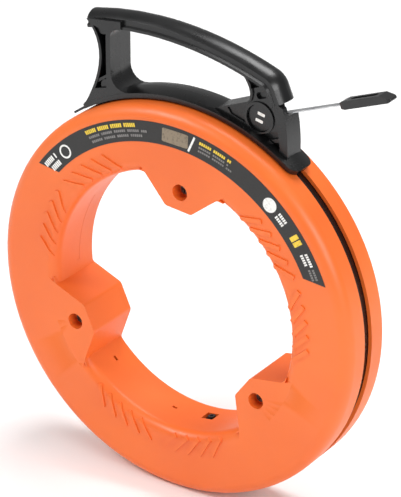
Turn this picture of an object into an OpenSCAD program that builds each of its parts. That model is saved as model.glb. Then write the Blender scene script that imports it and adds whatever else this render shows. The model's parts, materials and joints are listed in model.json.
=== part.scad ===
// Fish tape reel: a two-part moulded reel turns inside a guide band, and the handle that is
// fixed to the band leads the spring-steel tape out through its front post.
// Frame: the reel's axis is Y, the front face looks along -Y, and the handle is above it, at +Z.

/* [Reel] */
// radius of the reel
reel_r = 152; // [126:1:184]
// width of the ring between the hand opening and the rim
ring_w = 50; // [48:0.5:60]
// from the middle of the rim slot to the front face
front_depth = 26; // [21:0.5:34]
// from the middle of the rim slot to the rear face
rear_depth = 20.6; // [17:0.1:30]
// wall thickness of both shells
shell_wall = 2.8; // [1.6:0.1:4]
// radius of the rounded front shoulder
shoulder_r = 9.5; // [3:0.5:12]
// radius of the rear shell's outer edge
rear_edge_r = 2.5; // [1:0.1:6]
// radius of the opening's soft front edge
hole_edge_r = 8; // [3:0.5:12]
// radius of the opening's rear edge
rear_hole_edge_r = 2.2; // [0.5:0.1:4]
// width of the open slot round the rim
rim_slot_w = 9.4; // [7:0.1:14]

/* [Screw lobes] */
// number of lobes inside the hand opening
lobe_count = 3; // [2:1:6]
// direction of the first lobe, clockwise from the top
lobe_turn = 6; // [0:1:60]
// how far a lobe stands into the hand opening
lobe_reach = 23; // [14:0.5:30]
// width of a lobe's flat tip, before its corners are rounded
lobe_tip_w = 22; // [14:0.5:36]
// width of a lobe where it leaves the opening's wall
lobe_base_w = 62; // [40:0.5:80]
// radius of a lobe's tip corners
lobe_corner_r = 4; // [1:0.5:10]
// radius where a lobe's side leaves the opening's wall
lobe_base_r = 3; // [1:0.5:8]
// diameter of the counterbore over each shell screw
counterbore_d = 12.5; // [9:0.1:16]
// depth of that counterbore
counterbore_depth = 9; // [6:0.5:18]
// diameter of a shell screw's head
shell_head_d = 7; // [5:0.1:10]
// diameter of a shell screw's shank
shell_shank_d = 4; // [3:0.1:6]

/* [Grip ribs on the front face] */
// slanted ribs on each side of a group's middle
rib_count = 5; // [3:1:6]
// length of a rib
rib_l = 18; // [10:0.5:24]
// width of a rib
rib_w = 3.4; // [1:0.1:4.4]
// height of a rib above the front face
rib_h = 1.1; // [0.4:0.1:2]
// angle between neighbouring ribs
rib_pitch = 5.5; // [4.5:0.1:6.5]
// slant of a rib from the radial direction
rib_slant = 44; // [0:1:60]

/* [Front label] */
// width of the label band
label_w = 16; // [8:0.5:22]
// from the label's outer edge to the rim
label_inset = 10; // [9.5:0.5:14]
// thickness of the label
label_t = 0.3; // [0.1:0.05:0.6]
// direction of the label's first end, clockwise from the top
label_from = -53.9; // [-90:0.1:0]
// direction of its other end
label_to = 68.1; // [0:0.1:90]
// how much further in its inner edge ends
label_end_slant = 3.8; // [0:0.1:8]

/* [Tape] */
// width of the spring-steel tape
tape_w = 6.35; // [3:0.05:10]
// thickness of the tape
tape_t = 0.8; // [0.4:0.05:1.5]
// from the rim to where the tape leaves the coil
tape_inset = 29.5; // [27:0.5:31]
// rise of the tape's straight run above level
tape_rise = 21; // [5:0.5:40]
// turns of tape in the coil
coil_turns = 10.4; // [2:0.1:12]
// distance from one turn to the next
coil_pitch = 0.92; // [0.85:0.01:1.4]
// length of tape between the handle and the tip
tape_out = 41.5; // [41.5:0.5:120]
// length of the tape's free end behind its tangent point
tape_tail = 30; // [5:1:40]

/* [Tape tip] */
// length of the slotted tip
tip_l = 43; // [30:0.5:60]
// width of the tip
tip_w = 10.5; // [8:0.1:16]
// height of the tip
tip_h = 6; // [4:0.1:10]
// length of the pulling slot through the tip
tip_slot_l = 22; // [10:0.5:30]
// width of the pulling slot
tip_slot_w = 4.5; // [4.2:0.1:8]

/* [Handle] */
// height of the grip's upper edge above the rim
grip_rise = 53.2; // [50:0.1:60]
// radius of the grip's main arch
grip_arch_r = 275; // [260:1:300]
// radius of the grip's rear arch
rear_arch_r = 250; // [230:1:300]
// radius of the nose that turns the grip down to the tape
nose_r = 14; // [11:0.5:18]
// length of the nose's straight end
nose_l = 10.4; // [6:0.1:12]
// width of the grip between its side faces
grip_w = 18.4; // [14:0.1:28]
// width of the bead along the grip's lower edge
bead_w = 22; // [18:0.1:32]
// height of the grip's side faces and bead
grip_side_h = 6.8; // [5:0.1:9]
// how far the grip's crown rises between its side faces
crown_h = 4; // [1:0.1:6]
// width of the saddle and the rear post
saddle_w = 25; // [20:0.5:34]
// thickness of the saddle's edges
saddle_t = 3.5; // [2:0.1:6]
// gap between the saddle and the rim
saddle_gap = 1.5; // [0.8:0.1:4]
// width of the front post
front_post_w = 17; // [14:0.5:24]
// thickness of the web between the two halves' pockets
web_t = 5; // [3:0.1:8]
// depth of the front post's side panels
panel_depth = 1.2; // [0.6:0.1:1.6]
// depth of the pockets in those panels
pocket_depth = 2.4; // [1:0.1:2.4]
// radius of the saddle's front corners
foot_corner_r = 8; // [2:0.5:10]
// diameter of the round badge
badge_d = 20; // [12:0.5:24]
// diameter of a handle screw's shank
handle_shank_d = 4; // [3:0.1:5]
// diameter of a handle screw's head
handle_head_d = 7; // [6:0.1:9]

/* [Guide band] */
// thickness of the guide band
band_t = 1.8; // [1.2:0.1:3]
// width of the guide band
band_w = 18; // [14:0.5:24]
// thickness of the band's two lugs
lug_t = 3; // [2:0.1:4]
// width of the band's lugs
lug_w = 8; // [6:0.5:12]

/* [Clearances] */
// play between the reel and the band or handle that it turns against
turn_gap = 0.4; // [0.3:0.05:1]
// play round a part that sits in a pocket of its own body
seat_gap = 0.15; // [0.05:0.05:0.4]
// play over and under the tape in its channel
channel_gap = 0.8; // [0.4:0.1:2]

/* [Hidden] */
$fn = 96;
eps = 0.01;
arc_steps = 8;
orange = [0.93, 0.33, 0.08];
black = [0.09, 0.09, 0.10];
steel = [0.55, 0.56, 0.58];
dark_steel = [0.16, 0.16, 0.17];
label_grey = [0.22, 0.22, 0.23];
badge_white = [0.85, 0.85, 0.83];

// Shells
hole_r = reel_r - ring_w;
rim_inner_r = reel_r - shell_wall;
hub_outer_r = hole_r + shell_wall;
stop_rib_t = 1.8;
stop_rib_reach = 2.7;
lobe_r = hole_r - lobe_reach;
screw_r = lobe_r + 14;
boss_d = counterbore_d + 2 * shell_wall;
counterbore_floor = front_depth - counterbore_depth;
// a step in the joint between the shells, round the opening's wall
step_turns = [-91.5, -58];
step_depth = 2.8;
head_h = 2.6;
screw_point = 4;

// Guide band
band_outer_r = rim_inner_r - turn_gap;
band_inner_r = band_outer_r - band_t;

// Tape: the straight run starts at the tangent point, tape_line_r from the axis
tape_line_r = reel_r - tape_inset;
tangent = tape_line_r * [-sin(tape_rise), cos(tape_rise)];
mouth_x = 87.7;
tape_exit = (mouth_x - tangent[0]) / cos(tape_rise);
tip_start = tape_exit + tape_out;
coil_outer_r = tape_line_r - tape_t / 2 - turn_gap + 0.1;
coil_steps = 52;
coil_inner_r = coil_outer_r - tape_t - coil_turns * coil_pitch;
tip_grip = 8;
rivet_d = 2;
rivet_x = tip_start + 4.5;
// where the tape passes through the rim, clockwise from the top
rim_turn = acos(tape_line_r / rim_inner_r) - tape_rise;
tape_window = [rim_turn - 5, rim_turn + 5];

// Anchor of the tape's inner end
anchor_turn = 171.4;
anchor_w = 12;
anchor_t = 1.2;
anchor_screw_d = 3;
anchor_screw_depth = 6.5;
anchor_plate_depth = 12;
window_w = 10;
window_h = 10;
window_depth = 4.5;
clip_turns = [188, 222];
clip_w = 4;
clip_h = 2.4;
clip_depth = 1;

// Handle
grip_top = reel_r + grip_rise;
arch_x = -27;
arch_end = 20.4;
nose_end = 67;
rear_arch_end = 12.5;
saddle_inner_r = reel_r + saddle_gap;
saddle_outer_r = saddle_inner_r + saddle_t;
saddle_crown = 2;
saddle_from = -32.3;
saddle_to = 38;
tongue_to = -36.8;
tongue_t = 1.9;
neck_w = rim_slot_w - 2 * 0.6;
neck_turns = [[-30, tape_window[0]], [tape_window[1] + 1, 33]];
rear_post_w = saddle_w - 0.4;
post_in_x = -59.2;
post_flange_t = 3.8;
post_skin_t = 2.2;
rear_lug = [-22.9, reel_r + 12.2];
front_lug = [25, reel_r + 8.5];
rear_top_screw = above_rim(-67, 43);
front_top_screw = above_rim(62, 28.5);
screw_head_gap = 3.4;
handle_seat = front_post_w / 2 - screw_head_gap;
handle_screw_l = handle_seat + 1.2;
badge_at = above_rim(64.1, 4.6);
badge_t = 1;
badge_recess = 3;
badge_ring_t = 2;
mouth_back = 12;
mouth_low = 2.2;
mouth_high = 7;

// A point at radius r and turn a, clockwise from the top
function polar(r, a) = r * [sin(a), cos(a)];
function unit(v) = v / norm(v);
// A point at x, at height h above the level of the rim's top
function above_rim(x, h) = [x, reel_r + h];
// Points of an arc about c, from turn a to turn b
function arc(c, r, a, b, n = arc_steps) = [for (i = [0:n]) c + polar(r, a + (b - a) * i / n)];
// Points of a quadratic curve from p to q, bent toward m
function bend(p, m, q, n = 12) =
    [for (i = [0:n]) let (t = i / n) (1 - t) * (1 - t) * p + 2 * t * (1 - t) * m + t * t * q];
// One corner of an outline, rounded with radius r
function corner(p, c, q, r, n = 6) =
    let (u = unit(p - c), v = unit(q - c), half = acos(u * v) / 2,
         mid = c + unit(u + v) * r / sin(half), s = c + u * r / tan(half) - mid,
         e = c + v * r / tan(half) - mid, a = atan2(s[1], s[0]), b = atan2(e[1], e[0]),
         turn = b - a > 180 ? b - a - 360 : b - a < -180 ? b - a + 360 : b - a)
    [for (i = [0:n]) let (w = a + turn * i / n) mid + r * [cos(w), sin(w)]];
// An outline whose corners [x, y, r] are rounded
function rounded(p) = let (n = len(p)) [for (i = [0:n - 1])
    let (b = p[(i + n - 1) % n], c = p[i], d = p[(i + 1) % n])
    each c[2] > 0 ? corner([b[0], b[1]], [c[0], c[1]], [d[0], d[1]], c[2]) : [[c[0], c[1]]]];

// The parts are drawn as seen from the front, with depth toward the viewer, and then stood up
module stand() rotate([90, 0, 0]) children();
module turned(a) rotate([0, 0, -a]) children();
module both_sides() { children(); mirror([0, 0, 1]) children(); }
// A ring sector from turn a to turn b with its section drawn as [radius, depth]
module sector(a, b) turned(b) rotate([0, 0, 90]) rotate_extrude(angle = b - a) children();
module bar(r1, r2, w) polygon([[r1, -w / 2], [r2, -w / 2], [r2, w / 2], [r1, w / 2]]);
// The tape's own frame: along the straight run, with up square to it
module along_tape() translate([tangent[0], tangent[1], 0]) rotate([0, 0, tape_rise]) children();

// Section of one shell as [radius, depth from the rim slot's middle]
module shell_section(depth, edge_r, hole_edge) {
    inner_edge = max(edge_r - shell_wall, 0.5);
    inner_hole_edge = max(hole_edge - shell_wall, 0.5);
    stop = band_w / 2 + turn_gap;
    polygon(concat(
        [[hole_r, 0]],
        arc([hole_r + hole_edge, depth - hole_edge], hole_edge, -90, 0),
        arc([reel_r - edge_r, depth - edge_r], edge_r, 0, 90),
        [[reel_r, rim_slot_w / 2], [rim_inner_r, rim_slot_w / 2], [rim_inner_r, stop],
         [rim_inner_r - stop_rib_reach, stop], [rim_inner_r - stop_rib_reach, stop + stop_rib_t],
         [rim_inner_r, stop + stop_rib_t]],
        arc([rim_inner_r - inner_edge, depth - shell_wall - inner_edge], inner_edge, 90, 0),
        arc([hub_outer_r + inner_hole_edge, depth - shell_wall - inner_hole_edge],
            inner_hole_edge, 0, -90),
        [[hub_outer_r, 0]]));
}

// Outline of a lobe that points down from the top of the opening, drawn smaller by inset; it
// reaches out to radius outer
function lobe_outline(inset, outer) =
    let (slope = (lobe_base_w - lobe_tip_w) / 2 / lobe_reach, side = sqrt(1 + slope * slope),
         tip = lobe_r + inset, t = lobe_tip_w / 2 - inset * (side - slope),
         foot_r = hole_r + 1, b = lobe_base_w / 2 - inset * side,
         foot = asin(b / foot_r), y = foot_r * cos(foot), tip_r = max(lobe_corner_r - inset, 1))
    concat(arc([0, 0], outer, foot - 0.5, 0.5 - foot),
        rounded([concat(polar(outer, -foot - 3), 0), [-b, y, lobe_base_r], [-t, tip, tip_r],
                 [t, tip, tip_r], [b, y, lobe_base_r], concat(polar(outer, foot + 3), 0)]));

module lobes(depth, hole_edge) {
    body_r = min(hub_outer_r - 0.1, hole_r + hole_edge * 0.64);
    for (i = [0:lobe_count - 1]) turned(lobe_turn + i * 360 / lobe_count) {
        difference() {
            union() {
                linear_extrude(depth) polygon(lobe_outline(0, body_r));
                // where the edge is rounder than the wall, a plate bridges it
                if (hole_edge > shell_wall - 0.2) translate([0, 0, depth - shell_wall])
                    linear_extrude(shell_wall) polygon(lobe_outline(0, hole_r + hole_edge + 1.5));
            }
            translate([0, 0, -eps]) linear_extrude(depth - shell_wall + eps)
                polygon(lobe_outline(shell_wall, body_r - 0.1));
        }
        translate([0, screw_r, 0]) cylinder(d = boss_d, h = depth - shell_wall / 2);
    }
}

module at_screws() for (i = [0:lobe_count - 1])
    turned(lobe_turn + i * 360 / lobe_count) translate([0, screw_r, 0]) children();

// A skin that stands rib_h above the front face and its soft inner edge
module rib_skin() {
    c = [hole_r + hole_edge_r, front_depth - hole_edge_r];
    rotate_extrude() polygon(concat(
        arc(c, hole_edge_r + rib_h, -60, 0),
        [[hole_r + rib_l * 2, front_depth + rib_h], [hole_r + rib_l * 2, front_depth - 1]],
        arc(c, hole_edge_r - 1, 0, -60)));
}

module grip_ribs() intersection() {
    for (g = [0:lobe_count - 1], side = [-1, 1], i = [0:rib_count - 1])
        turned(lobe_turn + (g + 0.5) * 360 / lobe_count + side * (i + 1) * rib_pitch)
            translate([0, hole_r + hole_edge_r + 2, front_depth - hole_edge_r])
                rotate([0, 0, side * rib_slant]) translate([-rib_w / 2, -rib_l / 2, 0])
                    cube([rib_w, rib_l, hole_edge_r + 2 * rib_h]);
    rib_skin();
}

module front_shell() color(orange) stand() difference() {
    union() {
        rotate_extrude() shell_section(front_depth, shoulder_r, hole_edge_r);
        lobes(front_depth, hole_edge_r);
        grip_ribs();
        sector(step_turns[0], step_turns[1]) translate([0, -step_depth / 2])
            bar(hole_r + 0.1, hub_outer_r - 0.1, step_depth + 1);
    }
    at_screws() {
        translate([0, 0, counterbore_floor]) cylinder(d = counterbore_d, h = front_depth);
        translate([0, 0, -1]) cylinder(d = shell_shank_d + 2 * seat_gap, h = front_depth);
    }
}

// A cut through the opening's wall of the rear shell
module wall_cut(turn, w, h, depth) turned(turn)
    translate([-w / 2, hole_r - 1, -depth - h / 2]) cube([w, shell_wall + 2, h]);

module rear_shell() color(orange) stand() difference() {
    mirror([0, 0, 1]) union() {
        rotate_extrude() shell_section(rear_depth, rear_edge_r, rear_hole_edge_r);
        lobes(rear_depth, rear_hole_edge_r);
    }
    at_screws() translate([0, 0, -rear_depth + shell_wall])
        cylinder(d = shell_shank_d + seat_gap, h = rear_depth);
    wall_cut(anchor_turn, window_w, window_h, window_depth);
    for (t = clip_turns) wall_cut(t, clip_w, clip_h, clip_depth);
    sector(step_turns[0] - 0.1, step_turns[1] + 0.1) translate([0, -step_depth / 2])
        bar(hole_r - 1, hub_outer_r + 1, step_depth + 1 + 2 * seat_gap);
}

module screw(head_d, shank_d, under_head) difference() {
    union() {
        cylinder(d = head_d, h = head_h);
        translate([0, 0, -under_head]) cylinder(d = shank_d, h = under_head + eps);
        translate([0, 0, -under_head - shank_d / 2]) cylinder(d1 = 0.6, d2 = shank_d, h = shank_d / 2);
    }
    for (a = [0, 90]) rotate([0, 0, a]) translate([-head_d / 3, -0.5, head_h / 2])
        cube([head_d * 2 / 3, 1, head_h]);
}

module shell_screws() color(dark_steel) stand() at_screws()
    translate([0, 0, counterbore_floor])
        screw(shell_head_d, shell_shank_d, counterbore_floor + rear_depth - shell_wall - screw_point);

module front_label() color(label_grey) stand() translate([0, 0, front_depth])
    linear_extrude(label_t) polygon(concat(
        arc([0, 0], reel_r - label_inset, label_from, label_to, 60),
        arc([0, 0], reel_r - label_inset - label_w, label_to - label_end_slant,
            label_from + label_end_slant, 60)));

// The stored turns: a flat spiral that ends at the tangent point
module tape_coil() color(steel) stand() {
    n = floor(coil_turns * coil_steps);
    turn = function(i) -tape_rise - i * 360 / coil_steps;
    radius = function(i) coil_outer_r - coil_pitch * i / coil_steps;
    translate([0, 0, -tape_w / 2]) linear_extrude(tape_w) polygon(concat(
        [for (i = [0:n]) polar(radius(i), turn(i))],
        [for (i = [n:-1:0]) polar(radius(i) - tape_t, turn(i))]));
}

module tape_anchor() color(dark_steel) stand() turned(anchor_turn) difference() {
    union() {
        translate([-anchor_w / 2 - 2, hub_outer_r + seat_gap, -anchor_plate_depth])
            cube([anchor_w + 4, anchor_t, anchor_plate_depth + tape_w / 2 - 0.2]);
        translate([-anchor_w / 2, hub_outer_r + seat_gap, -tape_w / 2])
            cube([anchor_w, coil_inner_r - hub_outer_r - 1.2, tape_w]);
    }
    translate([0, hub_outer_r - 1, -anchor_screw_depth]) rotate([-90, 0, 0])
        cylinder(d = anchor_screw_d + 2 * seat_gap, h = anchor_t + 3);
}

module anchor_screw() color(steel) stand() turned(anchor_turn)
    translate([0, hub_outer_r + seat_gap, -anchor_screw_depth]) rotate([90, 0, 0])
        screw(anchor_screw_d * 1.8, anchor_screw_d, anchor_t + 1);

// The ring that the reel turns on, with a window for the tape and two lugs for the handle
module guide_band() color(black) stand() difference() {
    union() {
        rotate_extrude() bar(band_inner_r, band_outer_r, band_w);
        for (l = [rear_lug, front_lug]) turned(l[0]) {
            translate([-lug_w / 2, band_inner_r + band_t / 2, -lug_t / 2])
                cube([lug_w, l[1] - band_inner_r - band_t / 2, lug_t]);
            translate([0, l[1], -lug_t / 2]) cylinder(d = lug_w, h = lug_t);
        }
    }
    for (l = [rear_lug, front_lug]) turned(l[0]) translate([0, l[1], -lug_t])
        cylinder(d = handle_shank_d + 2 * seat_gap, h = 2 * lug_t);
    sector(tape_window[0], tape_window[1]) bar(band_inner_r - 2, band_outer_r + 2, neck_w);
}

// Section of the grip as [height above the side faces' upper edge, depth], from its lowest middle
function grip_section() =
    let (half = grip_w / 2, low = -grip_side_h, bead = bead_w / 2,
         crown_r = (half * half + crown_h * crown_h) / (2 * crown_h), open = asin(half / crown_r))
    concat([[low, 0], [low, -bead], [low + 2, -bead], [low + 3, -half]],
        [for (i = [-5:5]) [crown_h - crown_r + crown_r * cos(open * i / 5), crown_r * sin(open * i / 5)]],
        [[low + 3, half], [low + 2, bead], [low, bead]]);

// Stations along the grip as [x, y, turn]: a rear arch, the main arch, the nose and its straight
// end, each tangent to the next
function grip_stations() =
    let (arch_c = [arch_x, grip_top - grip_arch_r],
         nose_c = arch_c + polar(grip_arch_r - nose_r, arch_end),
         station = function(c, r, a) concat(c + polar(r, a), a))
    concat([for (i = [3:-1:1]) station([arch_x, grip_top - rear_arch_r], rear_arch_r, -rear_arch_end * i / 3)],
        [for (i = [0:9]) station(arch_c, grip_arch_r, arch_end * i / 10)],
        [for (i = [0:8]) station(nose_c, nose_r, arch_end + (nose_end - arch_end) * i / 8)],
        [concat(nose_c + polar(nose_r, nose_end) + nose_l * [cos(nose_end), -sin(nose_end)], nose_end)]);

module grip() {
    section = grip_section();
    stations = grip_stations();
    n = len(section);
    last = (len(stations) - 1) * n;
    polyhedron(
        [for (s = stations, p = section) concat([s[0], s[1]] + polar(p[0], s[2]), p[1])],
        concat([[for (k = [0:n - 1]) k]], [[for (k = [n:-1:1]) last + k % n]],
            [for (i = [0:len(stations) - 2], k = [0:n - 1])
                let (a = i * n + k, b = i * n + (k + 1) % n) each [[a, b + n, b], [a, a + n, b + n]]]));
}

module saddle_section() polygon(concat(
    [[saddle_inner_r, saddle_w / 2], [saddle_inner_r, -saddle_w / 2], [saddle_outer_r, -saddle_w / 2]],
    [for (i = [-4:4]) [saddle_outer_r + saddle_crown * cos(90 * i / 5), saddle_w * i / 10]],
    [[saddle_outer_r, saddle_w / 2]]));

// What rounds the saddle's two front corners, seen from above
module foot_corners() both_sides() turned(saddle_to) rotate([-90, 0, 0]) linear_extrude(reel_r * 2)
    polygon(concat([[1, saddle_w / 2 + 1], [1, saddle_w / 2 - foot_corner_r]],
        arc([-foot_corner_r, saddle_w / 2 - foot_corner_r], foot_corner_r, 90, 0),
        [[-foot_corner_r, saddle_w / 2 + 1]]));

module saddle() {
    difference() {
        sector(saddle_from, saddle_to) saddle_section();
        foot_corners();
    }
    sector(tongue_to, saddle_from + 1)
        bar(saddle_inner_r + 0.2, saddle_inner_r + tongue_t, saddle_w - 2);
    for (n = neck_turns) sector(n[0], n[1]) bar(band_outer_r + seat_gap, saddle_inner_r + 1, neck_w);
}

// Outer face of the rear post, moved in by x
function post_back(x) = let (foot = polar(saddle_outer_r, saddle_from + 0.6))
    bend(foot + [x, 0], above_rim(-57 + x, 26), above_rim(-79.6 + x, grip_rise - 5.6));

module rear_post() {
    under = grip_top - grip_side_h - 1.5;
    pocket_in_x = post_in_x - post_flange_t;
    difference() {
        linear_extrude(rear_post_w, center = true) polygon(concat(
            post_back(0), [[-50, grip_top - 2]],
            rounded([[-50, under, 0], [post_in_x, under, 7], [post_in_x, reel_r - 6, 12],
                     [-46, reel_r - 1.8, 0]]),
            arc([0, 0], saddle_inner_r + 1, -17, saddle_from + 1)));
        both_sides() translate([0, 0, web_t / 2]) linear_extrude(saddle_w) polygon(concat(
            [for (p = post_back(post_skin_t)) if (p[1] > reel_r - 9 && p[1] < under - 1) p],
            [[-74, under - 1], [pocket_in_x, under - 3], [pocket_in_x, reel_r - 1.5]]));
    }
    // a slanted stiffening rib, and the bosses round the two screws
    translate([-66.5, reel_r + 5, 0]) rotate([0, 0, 34]) cube([13, 2, saddle_w - 2], center = true);
    turned(rear_lug[0]) translate([0, rear_lug[1], 0])
        cylinder(d = handle_head_d + 3, h = saddle_w - 4, center = true);
    translate([rear_top_screw[0], rear_top_screw[1], 0])
        cylinder(d = handle_head_d + 3, h = saddle_w - 4, center = true);
}

// One pocket in the front post's side panels: an outline moved to p and turned with the tape
module pocket(p, outline) both_sides()
    translate([p[0], p[1], front_post_w / 2 - panel_depth - pocket_depth])
        rotate([0, 0, tape_rise]) linear_extrude(panel_depth + pocket_depth + 1) polygon(outline);

function slot_outline(l, w) = rounded([[-l / 2, -w / 2, w / 2.2], [l / 2, -w / 2, w / 2.2],
                                       [l / 2, w / 2, w / 2.2], [-l / 2, w / 2, w / 2.2]]);

// The recessed side panel, between the saddle, the finger opening and the post's front wall
module side_panel() both_sides() translate([0, 0, front_post_w / 2 - panel_depth])
    linear_extrude(panel_depth + 1) polygon(concat(
        [above_rim(38, 7), above_rim(54, 12.5)],
        bend(above_rim(57.8, 16.5), above_rim(61.3, 25.5), above_rim(53.5, 32.8), 6),
        [above_rim(66, 28.8), above_rim(72.5, 22), above_rim(77, 10), above_rim(80.3, -3),
         above_rim(81.6, -14)],
        arc([0, 0], saddle_outer_r + saddle_crown + 1, 31, 15)));

module badge_cut(d, depth) translate([badge_at[0], badge_at[1], front_post_w / 2 - depth])
    cylinder(d = d, h = depth + 1);

module front_post() difference() {
    union() {
        difference() {
            linear_extrude(front_post_w, center = true) polygon(concat(
                [polar(saddle_outer_r, 9.4), above_rim(54.5, 15)],
                bend(above_rim(56, 16.5), above_rim(59.5, 25), above_rim(48, 37.2), 8),
                [above_rim(49, 39), above_rim(64, 33), above_rim(71.5, 30.2),
                 above_rim(73.7, 26.9), above_rim(77.2, 19.5)],
                bend(above_rim(83.7, 16), above_rim(88.2, 2), above_rim(88, -19), 8),
                arc([0, 0], saddle_inner_r + 1, 34.5, 9.4)));
            side_panel();
        }
        translate([badge_at[0], badge_at[1], 0])
            cylinder(d = badge_d + 2 * badge_ring_t, h = front_post_w / 2);
    }
    pocket(above_rim(60.1, 29.3), rounded([[-4, -2.9, 0.8], [4, -2.9, 0.8], [-2.5, 3.1, 0.8]]));
    pocket(above_rim(68.1, 22.8), slot_outline(14, 5));
    pocket(above_rim(71.6, -7.4), slot_outline(18, 5.5));
    pocket(above_rim(77.1, -14.9), rounded([[-5.5, 3.6, 0.8], [4.8, 3.6, 0.8], [3.2, -3.8, 0.8]]));
    badge_cut(badge_d + 2 * seat_gap, badge_recess);
}

// Where the tape runs: a flat channel, and a mouth at the front that opens to the rear
module tape_way() along_tape() {
    h = tape_t + 2 * channel_gap;
    translate([tape_exit / 2, -h / 2, -neck_w / 2]) cube([tape_exit, h, neck_w]);
    translate([tape_exit - mouth_back, -mouth_low, -saddle_w])
        cube([reel_r, mouth_low + mouth_high, saddle_w + neck_w / 2 - 0.3]);
}

module handle_screw_places() {
    turned(rear_lug[0]) translate([0, rear_lug[1], 0]) children();
    turned(front_lug[0]) translate([0, front_lug[1], 0]) children();
    translate([rear_top_screw[0], rear_top_screw[1], 0]) children();
    translate([front_top_screw[0], front_top_screw[1], 0]) children();
}

module handle() difference() {
    union() {
        saddle();
        rear_post();
        front_post();
        grip();
    }
    tape_way();
    // pockets for the band's lugs, and the screw holes from the rear
    for (l = [rear_lug, front_lug]) turned(l[0]) {
        translate([-lug_w / 2 - seat_gap, band_outer_r, -lug_t / 2 - seat_gap])
            cube([lug_w + 2 * seat_gap, l[1] - band_outer_r, lug_t + 2 * seat_gap]);
        translate([0, l[1], -lug_t / 2 - seat_gap])
            cylinder(d = lug_w + 2 * seat_gap, h = lug_t + 2 * seat_gap);
    }
    handle_screw_places() {
        translate([0, 0, -saddle_w]) cylinder(d = handle_shank_d + seat_gap,
            h = saddle_w + handle_screw_l - handle_seat + handle_shank_d / 2 + 0.4);
        translate([0, 0, -saddle_w]) cylinder(d = handle_head_d + 1, h = saddle_w - handle_seat);
    }
}

module front_space() translate([-150, 50, 0]) cube([300, 200, 60]);

module handle_front_half() color(black) stand() intersection() {
    handle();
    front_space();
}

module handle_rear_half() color(black) stand() intersection() {
    handle();
    mirror([0, 0, 1]) front_space();
}

module handle_screws() color(dark_steel) stand() handle_screw_places()
    mirror([0, 0, 1]) translate([0, 0, handle_seat]) screw(handle_head_d, handle_shank_d, handle_screw_l);

module handle_badge() color(badge_white) stand()
    translate([badge_at[0], badge_at[1], front_post_w / 2 - badge_recess])
        cylinder(d = badge_d, h = badge_t);

module tape_lead() color(steel) stand() along_tape() difference() {
    translate([-tape_tail, -tape_t / 2, -tape_w / 2])
        cube([tape_tail + tip_start + tip_grip, tape_t, tape_w]);
    translate([rivet_x, 0, 0]) rotate([90, 0, 0])
        cylinder(d = rivet_d + seat_gap, h = tape_t + 2, center = true);
}

module tape_tip() color(black) stand() along_tape() translate([tip_start, 0, 0]) difference() {
    intersection() {
        translate([0, 0, -tip_w / 2]) linear_extrude(tip_w) polygon(rounded([
            [0, -tip_h / 2 + 0.8, 0.8], [4, -tip_h / 2, 2], [tip_l - 3, -tip_h / 2, 2],
            [tip_l, -tip_h / 2 + 1.6, 1], [tip_l - 9, tip_h / 2, 4], [4, tip_h / 2, 2],
            [0, tip_h / 2 - 0.8, 0.8]]));
        rotate([90, 0, 0]) linear_extrude(tip_h + 2, center = true) polygon(rounded([
            [0, -tip_w / 2 + 1, 1.6], [3, -tip_w / 2, 3], [tip_l, -tip_w / 2, tip_w * 0.45],
            [tip_l, tip_w / 2, tip_w * 0.45], [3, tip_w / 2, 3], [0, tip_w / 2 - 1, 1.6]]));
    }
    // the pulling slot, and the socket that holds the tape's end
    rotate([90, 0, 0]) linear_extrude(tip_h + 2, center = true)
        translate([tip_grip + seat_gap + tip_slot_l / 2, 0, 0]) polygon(slot_outline(tip_slot_l, tip_slot_w));
    translate([-1, -tape_t / 2 - seat_gap / 2, -tape_w / 2 - seat_gap])
        cube([tip_grip + 1 + eps, tape_t + seat_gap, tape_w + 2 * seat_gap]);
    translate([rivet_x - tip_start, 0, 0]) rotate([90, 0, 0])
        cylinder(d = rivet_d + seat_gap, h = tip_h + 2, center = true);
}

module tip_rivet() color(steel) stand() along_tape() translate([rivet_x, 0, 0])
    rotate([90, 0, 0]) cylinder(d = rivet_d, h = tip_h, center = true);

front_shell();
rear_shell();
shell_screws();
front_label();
tape_coil();
tape_anchor();
anchor_screw();
guide_band();
handle_front_half();
handle_rear_half();
handle_screws();
handle_badge();
tape_lead();
tape_tip();
tip_rivet();
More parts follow.
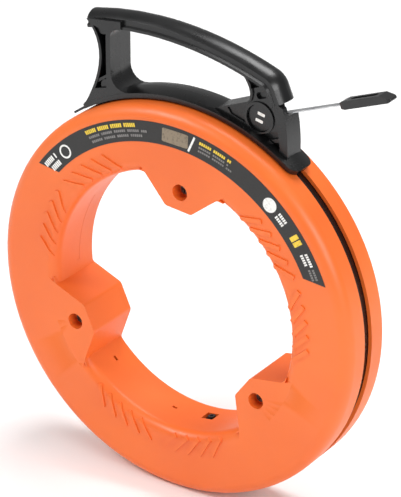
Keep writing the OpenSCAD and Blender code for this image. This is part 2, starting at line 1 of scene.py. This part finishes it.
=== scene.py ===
import bpy
import json
import math
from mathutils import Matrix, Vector

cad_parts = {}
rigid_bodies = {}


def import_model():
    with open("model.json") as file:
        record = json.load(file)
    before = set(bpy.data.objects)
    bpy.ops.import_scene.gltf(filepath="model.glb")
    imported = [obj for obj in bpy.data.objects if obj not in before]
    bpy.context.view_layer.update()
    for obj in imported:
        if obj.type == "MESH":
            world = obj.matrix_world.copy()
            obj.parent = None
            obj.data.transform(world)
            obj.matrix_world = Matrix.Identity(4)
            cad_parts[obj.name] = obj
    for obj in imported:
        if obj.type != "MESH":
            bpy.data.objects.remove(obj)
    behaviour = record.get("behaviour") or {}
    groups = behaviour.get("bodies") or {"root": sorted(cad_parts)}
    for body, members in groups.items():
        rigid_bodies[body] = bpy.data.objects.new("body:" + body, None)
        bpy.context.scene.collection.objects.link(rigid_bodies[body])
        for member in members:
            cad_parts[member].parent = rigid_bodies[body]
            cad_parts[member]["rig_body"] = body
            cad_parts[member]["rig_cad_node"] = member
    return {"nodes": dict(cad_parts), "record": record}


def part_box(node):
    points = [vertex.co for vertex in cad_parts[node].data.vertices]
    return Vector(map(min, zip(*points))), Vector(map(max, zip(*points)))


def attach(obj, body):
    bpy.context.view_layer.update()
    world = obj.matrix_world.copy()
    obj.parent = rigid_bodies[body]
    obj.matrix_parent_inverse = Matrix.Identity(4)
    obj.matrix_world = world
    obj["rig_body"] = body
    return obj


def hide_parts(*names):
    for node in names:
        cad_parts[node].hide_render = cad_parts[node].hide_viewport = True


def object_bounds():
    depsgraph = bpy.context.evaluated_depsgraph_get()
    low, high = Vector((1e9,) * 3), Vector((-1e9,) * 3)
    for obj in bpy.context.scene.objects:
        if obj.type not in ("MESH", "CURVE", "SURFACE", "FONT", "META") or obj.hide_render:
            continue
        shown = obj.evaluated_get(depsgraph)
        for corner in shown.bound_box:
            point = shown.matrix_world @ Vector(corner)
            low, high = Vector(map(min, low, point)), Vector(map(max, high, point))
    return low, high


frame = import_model()
cadBounds = [list(corner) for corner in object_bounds()]
mm = 0.001
print("frame loaded")


def deselectAll():
    if bpy.context.object and bpy.context.object.mode != "OBJECT":
        bpy.ops.object.mode_set(mode="OBJECT")
    bpy.ops.object.select_all(action="DESELECT")


def pick(obj):
    deselectAll()
    obj.hide_viewport = False
    obj.select_set(True)
    bpy.context.view_layer.objects.active = obj
    return obj


def applyModifier(obj, kind, **settings):
    pick(obj)
    modifier = obj.modifiers.new(kind.title(), kind)
    for name, value in settings.items():
        setattr(modifier, name, value)
    bpy.ops.object.modifier_apply(modifier=modifier.name)
    return obj


def smooth(obj, degrees=32):
    pick(obj)
    bpy.ops.object.shade_smooth_by_angle(angle=math.radians(degrees))
    return obj


def linear(hexColour):
    # sRGB hex to the linear values that the shader wants
    channels = [int(hexColour[i:i + 2], 16) / 255 for i in (1, 3, 5)]
    return [c / 12.92 if c <= 0.04045 else ((c + 0.055) / 1.055) ** 2.4 for c in channels] + [1]


def addNode(material, kind, settings=None, links=None):
    # one node, its values by socket or attribute name, and what feeds its sockets
    node = material.node_tree.nodes.new(kind)
    for name, value in (settings or {}).items():
        if isinstance(name, int) or name in node.inputs:
            node.inputs[name].default_value = value
        else:
            setattr(node, name, value)
    for name, source in (links or {}).items():
        material.node_tree.links.new(source, node.inputs[name])
    return node


def perMetre(sizeMm):
    # a noise scale whose blotches are about this size
    return 1000 / sizeMm


def newMaterial(name, **shader):
    material = bpy.data.materials.new(name)
    material.use_nodes = True
    body = material.node_tree.nodes["Principled BSDF"]
    for socket, value in shader.items():
        body.inputs[socket.replace("_", " ")].default_value = value
    return material, body


def wear(obj, material):
    obj.data.materials.clear()
    obj.data.materials.append(material)
    for polygon in obj.data.polygons:
        polygon.material_index = 0
    return obj


def twoTone(material, source, dark, darkAt, colour, colourAt):
    # a ramp from the dark colour to the plain one, driven by a pattern
    ramp = addNode(material, "ShaderNodeValToRGB", links={"Fac": source})
    stops = zip(ramp.color_ramp.elements, (dark, colour), (darkAt, colourAt))
    for element, tint, position in stops:
        element.position = position
        element.color = linear(tint)
    return ramp.outputs["Color"]


def feed(material, body, **sources):
    # joins outputs to the shader's sockets
    for socket, source in sources.items():
        material.node_tree.links.new(source, body.inputs[socket.replace("_", " ")])
    return material


patternMm = {   # sizes of the surface patterns
    "flowMark": 90, "handling": 35, "rollStreak": 0.8, "oilStain": 14, "pinhole": 1.6,
    "streakDepth": 0.02, "peelDepth": 0.02,
}


def mouldedPlastic(name, colour, shade, roughness, grainMm, grainDepth, specular=0.5):
    # Injection-moulded ABS or nylon: an even body colour with slow flow marks, a spark-eroded
    # grain that spreads the highlight, and a roughness that changes a little with handling.
    # Black oxide on a screw is as thin and dark a skin, and is made the same way.
    material, body = newMaterial(name, IOR=1.53)
    body.inputs["Specular IOR Level"].default_value = specular
    place = addNode(material, "ShaderNodeTexCoord").outputs["Object"]
    flow = addNode(material, "ShaderNodeTexNoise",
                   {"Scale": perMetre(patternMm["flowMark"]), "Detail": 3.0, "Roughness": 0.5},
                   {"Vector": place})
    tone = twoTone(material, flow.outputs["Fac"], shade, 0.35, colour, 0.68)
    rub = addNode(material, "ShaderNodeTexNoise",
                  {"Scale": perMetre(patternMm["handling"]), "Detail": 5.0, "Roughness": 0.65},
                  {"Vector": place})
    sheen = addNode(material, "ShaderNodeMapRange",
                    {"From Min": 0.3, "From Max": 0.7,
                     "To Min": roughness - 0.05, "To Max": roughness + 0.07},
                    {"Value": rub.outputs["Fac"]})
    grain = addNode(material, "ShaderNodeTexNoise", {"Scale": perMetre(grainMm), "Detail": 2.0},
                    {"Vector": place})
    skin = addNode(material, "ShaderNodeBump", {"Strength": 0.35, "Distance": grainDepth * mm},
                   {"Height": grain.outputs["Fac"]})
    return feed(material, body, Base_Color=tone, Roughness=sheen.outputs["Result"],
                Normal=skin.outputs["Normal"])


def rolledSteel(name, colour, dark, roughness, turn):
    # Cold-rolled spring steel: long fine streaks along the strip and a dull oiled sheen.
    material, body = newMaterial(name, Metallic=1.0)
    place = addNode(material, "ShaderNodeTexCoord").outputs["Object"]
    along = addNode(material, "ShaderNodeMapping",
                    {"Rotation": (0, turn, 0), "Scale": (0.03, 1.0, 1.0)},
                    {"Vector": place})
    streak = addNode(material, "ShaderNodeTexNoise",
                     {"Scale": perMetre(patternMm["rollStreak"]), "Detail": 4.0, "Roughness": 0.6},
                     {"Vector": along.outputs["Vector"]})
    stain = addNode(material, "ShaderNodeTexNoise",
                    {"Scale": perMetre(patternMm["oilStain"]), "Detail": 3.0}, {"Vector": place})
    both = addNode(material, "ShaderNodeMix", {"Factor": 0.4},
                   {2: streak.outputs["Fac"], 3: stain.outputs["Fac"]})
    tone = twoTone(material, both.outputs[0], dark, 0.38, colour, 0.62)
    sheen = addNode(material, "ShaderNodeMapRange",
                    {"From Min": 0.35, "From Max": 0.65,
                     "To Min": roughness - 0.08, "To Max": roughness + 0.1},
                    {"Value": streak.outputs["Fac"]})
    groove = addNode(material, "ShaderNodeBump",
                     {"Strength": 0.3, "Distance": patternMm["streakDepth"] * mm},
                     {"Height": streak.outputs["Fac"]})
    return feed(material, body, Base_Color=tone, Roughness=sheen.outputs["Result"],
                Normal=groove.outputs["Normal"])


def screenPrint(name, colour, worn, roughness=0.42):
    # Screen-printed vinyl: a flat ink with tiny pinholes and a faint orange-peel sheen.
    material, body = newMaterial(name, Roughness=roughness, IOR=1.5)
    place = addNode(material, "ShaderNodeTexCoord").outputs["Object"]
    speck = addNode(material, "ShaderNodeTexNoise",
                    {"Scale": perMetre(patternMm["pinhole"]), "Detail": 4.0}, {"Vector": place})
    tone = twoTone(material, speck.outputs["Fac"], worn, 0.3, colour, 0.5)
    peel = addNode(material, "ShaderNodeBump",
                   {"Strength": 0.15, "Distance": patternMm["peelDepth"] * mm},
                   {"Height": speck.outputs["Fac"]})
    return feed(material, body, Base_Color=tone, Normal=peel.outputs["Normal"])


tapeRise = math.radians(21)     # the slope of the tape's straight run
finishes = {
    "orangeAbs": mouldedPlastic("orange moulded ABS", "#F2732A", "#EB6A26", 0.4, 0.9, 0.05),
    "blackNylon": mouldedPlastic("black moulded nylon", "#0C0C0D", "#070708", 0.27, 0.8, 0.03),
    "bandNylon": mouldedPlastic("black band nylon", "#0B0B0C", "#070708", 0.25, 1.2, 0.03),
    "tipNylon": mouldedPlastic("grey moulded nylon", "#1C1C1D", "#121213", 0.3, 0.8, 0.04),
    "springSteel": rolledSteel("cold rolled spring steel", "#E2E3E4", "#B4B6B9", 0.34, tapeRise),
    "zincSteel": rolledSteel("zinc plated steel", "#C9CACC", "#9A9C9F", 0.34, 0.0),
    "blackOxide": mouldedPlastic("black oxide steel", "#2B2B2E", "#1C1C1E", 0.3, 0.5, 0.02, 0.7),
    "labelVinyl": screenPrint("charcoal label vinyl", "#1F1D1C", "#191817", 0.4),
    "yellowInk": screenPrint("yellow ink", "#F0CE3C", "#CBAA33"),
    "greyInk": screenPrint("grey ink", "#7E7B79", "#686563"),
    "whiteInk": screenPrint("white ink", "#F1F0EC", "#DAD8D2"),
    "sandInk": screenPrint("sand ink", "#8A7B66", "#6E6250"),
}
print("finishes made")


softEdges = {   # edge radius in mm, sharpest angle kept, finish
    "front_shell": (0.8, 30, "orangeAbs"),
    "rear_shell": (0.5, 30, "orangeAbs"),
    "guide_band": (0.25, 30, "bandNylon"),
    "handle_front_half": (0.5, 28, "blackNylon"),
    "handle_rear_half": (0.5, 28, "blackNylon"),
    "tape_lead": (0.12, 30, "springSteel"),
    "tape_tip": (0.4, 30, "tipNylon"),
    "handle_badge": (0.25, 30, "blackNylon"),
    "front_label": (0.06, 30, "labelVinyl"),
}
mergeDistance = 0.002 * mm
flatAngle = math.radians(0.4)   # faces nearer to flat than this become one
bodyOf = {node: body for body, nodes in frame["record"]["behaviour"]["bodies"].items()
          for node in nodes}


def softened(node, radius, angle, finish):
    # a copy of the model's piece with its edges broken as moulding leaves them
    pick(frame["nodes"][node])
    bpy.ops.object.duplicate()
    piece = bpy.context.object
    piece.name = node.replace("_", " ").title().replace(" ", "")
    piece.parent = None
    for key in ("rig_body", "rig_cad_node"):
        if key in piece:
            del piece[key]
    pick(piece)
    bpy.ops.object.mode_set(mode="EDIT")
    bpy.ops.mesh.select_all(action="SELECT")
    bpy.ops.mesh.remove_doubles(threshold=mergeDistance)
    bpy.ops.mesh.dissolve_limited(angle_limit=flatAngle)
    bpy.ops.object.mode_set(mode="OBJECT")
    applyModifier(piece, "BEVEL", width=radius * mm, segments=2, limit_method="ANGLE",
                  angle_limit=math.radians(angle), use_clamp_overlap=True, harden_normals=False)
    applyModifier(piece, "TRIANGULATE")
    smooth(piece, angle)
    applyModifier(piece, "WEIGHTED_NORMAL", keep_sharp=True)
    wear(piece, finishes[finish])
    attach(piece, bodyOf[node])
    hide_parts(node)
    return piece


pieces = {node: softened(node, *how) for node, how in softEdges.items()}
print("moulded pieces softened:", len(pieces))

# Small or hidden pieces keep their own mesh and only get a finish
plainNodes = {
    "shell_screws": "blackOxide", "handle_screws": "blackOxide", "tape_coil": "springSteel",
    "tape_anchor": "blackOxide", "anchor_screw": "blackOxide", "tip_rivet": "zincSteel",
}
for node, finish in plainNodes.items():
    wear(frame["nodes"][node], finishes[finish])
    smooth(frame["nodes"][node], 30)

# The label's print: plain strokes, a ring, a disc and two blocks in place of any words
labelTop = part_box("front_label")[1][2]      # the label's outer radius, on the reel's axis
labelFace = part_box("front_label")[0][1]
inkFilm = 0.15 * mm
labelPrint = {
    "rows": [   # ink, how far below the label's outer edge, height, first and last turn
        ("whiteInk", 5.3, 4.0, -52.0, -46.4), ("whiteInk", 11.2, 4.0, -50.8, -46.4),
        ("yellowInk", 3.8, 3.0, -31.0, -11.5), ("greyInk", 8.0, 1.8, -30.5, -8.0),
        ("greyInk", 11.6, 1.8, -30.0, -8.5), ("yellowInk", 4.2, 2.2, 11.5, 22.5),
        ("greyInk", 7.6, 1.4, 11.5, 22.0), ("greyInk", 10.4, 1.4, 11.5, 24.0),
        ("whiteInk", 6.2, 2.6, 43.6, 47.2), ("whiteInk", 10.0, 2.6, 43.6, 47.0),
        ("whiteInk", 5.0, 2.4, 57.6, 61.4), ("whiteInk", 9.0, 2.4, 57.4, 60.6),
        ("greyInk", 5.0, 1.8, 62.6, 66.0), ("greyInk", 8.2, 1.8, 62.4, 65.4)],
    "blocks": [   # ink, how far below the outer edge, turn, width, height, lean
        ("yellowInk", 7.2, 51.7, 3.6, 7.4, 0), ("yellowInk", 7.2, 53.6, 3.6, 7.4, 0),
        ("sandInk", 8.0, 2.6, 22.0, 10.5, 0), ("whiteInk", 8.0, 8.6, 1.6, 13.0, 16)],
    "strokeWidth": 1.3, "strokeGap": 0.45, "wordLength": 7,
    "ringTurn": -42.4, "ringRadius": 4.6, "ringBar": 0.7,
    "discTurn": 39.6, "discRadius": 5.6, "discEdge": 0.04,
    "drop": 8.0,    # how far the ring and the disc lie below the outer edge
}


def polar(radius, degrees, depth):
    # a place on the front face, clockwise from the top
    angle = math.radians(degrees)
    return (radius * math.sin(angle), depth, radius * math.cos(angle))


def blankStroke(ink):
    # one block of ink film with its edges eased, copied for every other one of the same ink
    deselectAll()
    bpy.ops.mesh.primitive_cube_add(size=1)
    stroke = bpy.context.object
    stroke.name = ink + "Marks"
    applyModifier(stroke, "BEVEL", width=0.06, segments=1)     # of a block one unit wide
    return wear(stroke, finishes[ink])


def placed(stroke, radius, degrees, width, height, lean):
    stroke.location = polar(radius, degrees, labelFace - inkFilm / 2)
    stroke.rotation_euler = (0, math.radians(degrees + lean), 0)
    stroke.scale = (width * mm, inkFilm, height * mm)
    return stroke


def copied(source):
    pick(source)
    bpy.ops.object.duplicate()
    return bpy.context.object


def joined(parts, body):
    deselectAll()
    for part in parts:
        part.select_set(True)
    bpy.context.view_layer.objects.active = parts[0]
    bpy.ops.object.join()
    bpy.ops.object.transform_apply(location=True, rotation=True, scale=True)
    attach(parts[0], body)
    return parts[0]


printed = {}    # ink: its list of (radius, turn, width, height, lean)
step = labelPrint["strokeWidth"] + labelPrint["strokeGap"]
for ink, drop, height, first, last in labelPrint["rows"]:
    radius = labelTop - drop * mm
    turnStep = math.degrees(step * mm / radius)
    for i in range(int((last - first) / turnStep) + 1):
        if (i + 1) % labelPrint["wordLength"]:      # every last one is the gap between words
            mark = (radius, first + i * turnStep, labelPrint["strokeWidth"], height, 0)
            printed.setdefault(ink, []).append(mark)
for ink, drop, turnAt, width, height, lean in labelPrint["blocks"]:
    printed.setdefault(ink, []).append((labelTop - drop * mm, turnAt, width, height, lean))
for ink, marks in printed.items():
    blank = blankStroke(ink)
    strokes = [copied(blank) for mark in marks[1:]]
    joined([placed(stroke, *mark) for stroke, mark in zip([blank] + strokes, marks)], "reel")

markRadius = labelTop - labelPrint["drop"] * mm
deselectAll()
bpy.ops.mesh.primitive_torus_add(
    major_radius=labelPrint["ringRadius"] * mm, minor_radius=labelPrint["ringBar"] * mm,
    major_segments=64, minor_segments=12, rotation=(math.radians(90), 0, 0),
    location=polar(markRadius, labelPrint["ringTurn"], labelFace - inkFilm / 2))
ring = bpy.context.object
ring.name = "labelRing"
ring.scale = (1, 1, inkFilm / (2 * labelPrint["ringBar"] * mm))
joined([wear(ring, finishes["whiteInk"])], "reel")

deselectAll()
bpy.ops.mesh.primitive_cylinder_add(
    radius=labelPrint["discRadius"] * mm, depth=inkFilm, vertices=64,
    rotation=(math.radians(90), 0, 0),
    location=polar(markRadius, labelPrint["discTurn"], labelFace - inkFilm / 2))
disc = bpy.context.object
disc.name = "labelDisc"
joined([wear(disc, finishes["whiteInk"])], "reel")
applyModifier(disc, "BEVEL", width=labelPrint["discEdge"] * mm, segments=1)

# The badge on the handle: two plain bars on its dark disc
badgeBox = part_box("handle_badge")
badgeBars = {"width": 6.0, "height": 2.2, "lean": 12, "apart": 2.6, "shift": 0.8}
badgeX, badgeZ = [(badgeBox[0][axis] + badgeBox[1][axis]) / 2 for axis in (0, 2)]
bars = []
for side in (-1, 1):
    bar = blankStroke("whiteInk")
    bar.name = "badgeBars"
    bar.location = (badgeX + side * badgeBars["shift"] * mm, badgeBox[0][1] - inkFilm / 2,
                    badgeZ + side * badgeBars["apart"] * mm)
    bar.rotation_euler = (0, math.radians(badgeBars["lean"]), 0)
    bar.scale = (badgeBars["width"] * mm, inkFilm, badgeBars["height"] * mm)
    bars.append(bar)
joined(bars, "handle")
print("print on the label and the badge laid down")

view = {"azimuth": 34.4, "elevation": 26.3, "distance": 2.034, "lens": 203.0, "sensor": 36,
        "centre": (0, -0.00493, 0), "panRight": 0.0108, "panUp": 0.0336}
turn, rise = math.radians(view["azimuth"]), math.radians(view["elevation"])
back = Vector((math.sin(turn) * math.cos(rise), -math.cos(turn) * math.cos(rise), math.sin(rise)))
right = Vector((math.cos(turn), math.sin(turn), 0))
up = back.cross(right)
target = Vector(view["centre"]) + right * view["panRight"] + up * view["panUp"]
deselectAll()
bpy.ops.object.camera_add(location=target + back * view["distance"])
camera = bpy.context.object
camera.rotation_euler = back.to_track_quat("Z", "Y").to_euler()
camera.data.lens = view["lens"]
camera.data.sensor_width = view["sensor"]
bpy.context.scene.camera = camera

lights = {   # place, power in watts, size in metres
    "key": ((-1.5, -1.5, 1.9), 34, 0.9),
    "fill": ((2.0, -0.9, 1.1), 26, 1.1),
    "top": ((0.1, 0.5, 2.3), 40, 1.2),
}
for name, (place, power, size) in lights.items():
    deselectAll()
    bpy.ops.object.light_add(type="AREA", location=place)
    lamp = bpy.context.object
    lamp.name = name + "Light"
    lamp.data.energy = power
    lamp.data.size = size
    lamp.rotation_euler = Vector(place).to_track_quat("Z", "Y").to_euler()

studio = {"skyStrength": 0.34, "floorSize": 12, "floorGap": 0.0005, "floorColour": "#FAFAFA"}
world = bpy.data.worlds.new("studio")
world.use_nodes = True
world.node_tree.nodes["Background"].inputs["Color"].default_value = (1, 1, 1, 1)
world.node_tree.nodes["Background"].inputs["Strength"].default_value = studio["skyStrength"]
bpy.context.scene.world = world
bpy.context.scene.view_settings.view_transform = "Standard"

deselectAll()
bpy.ops.mesh.primitive_plane_add(
    size=studio["floorSize"], location=(0, 0, cadBounds[0][2] - studio["floorGap"]))
floor = bpy.context.object
floor.name = "studioFloor"
paper, paperBody = newMaterial("white studio paper", Roughness=0.9)
paperBody.inputs["Base Color"].default_value = linear(studio["floorColour"])
wear(floor, paper)
print("studio ready")
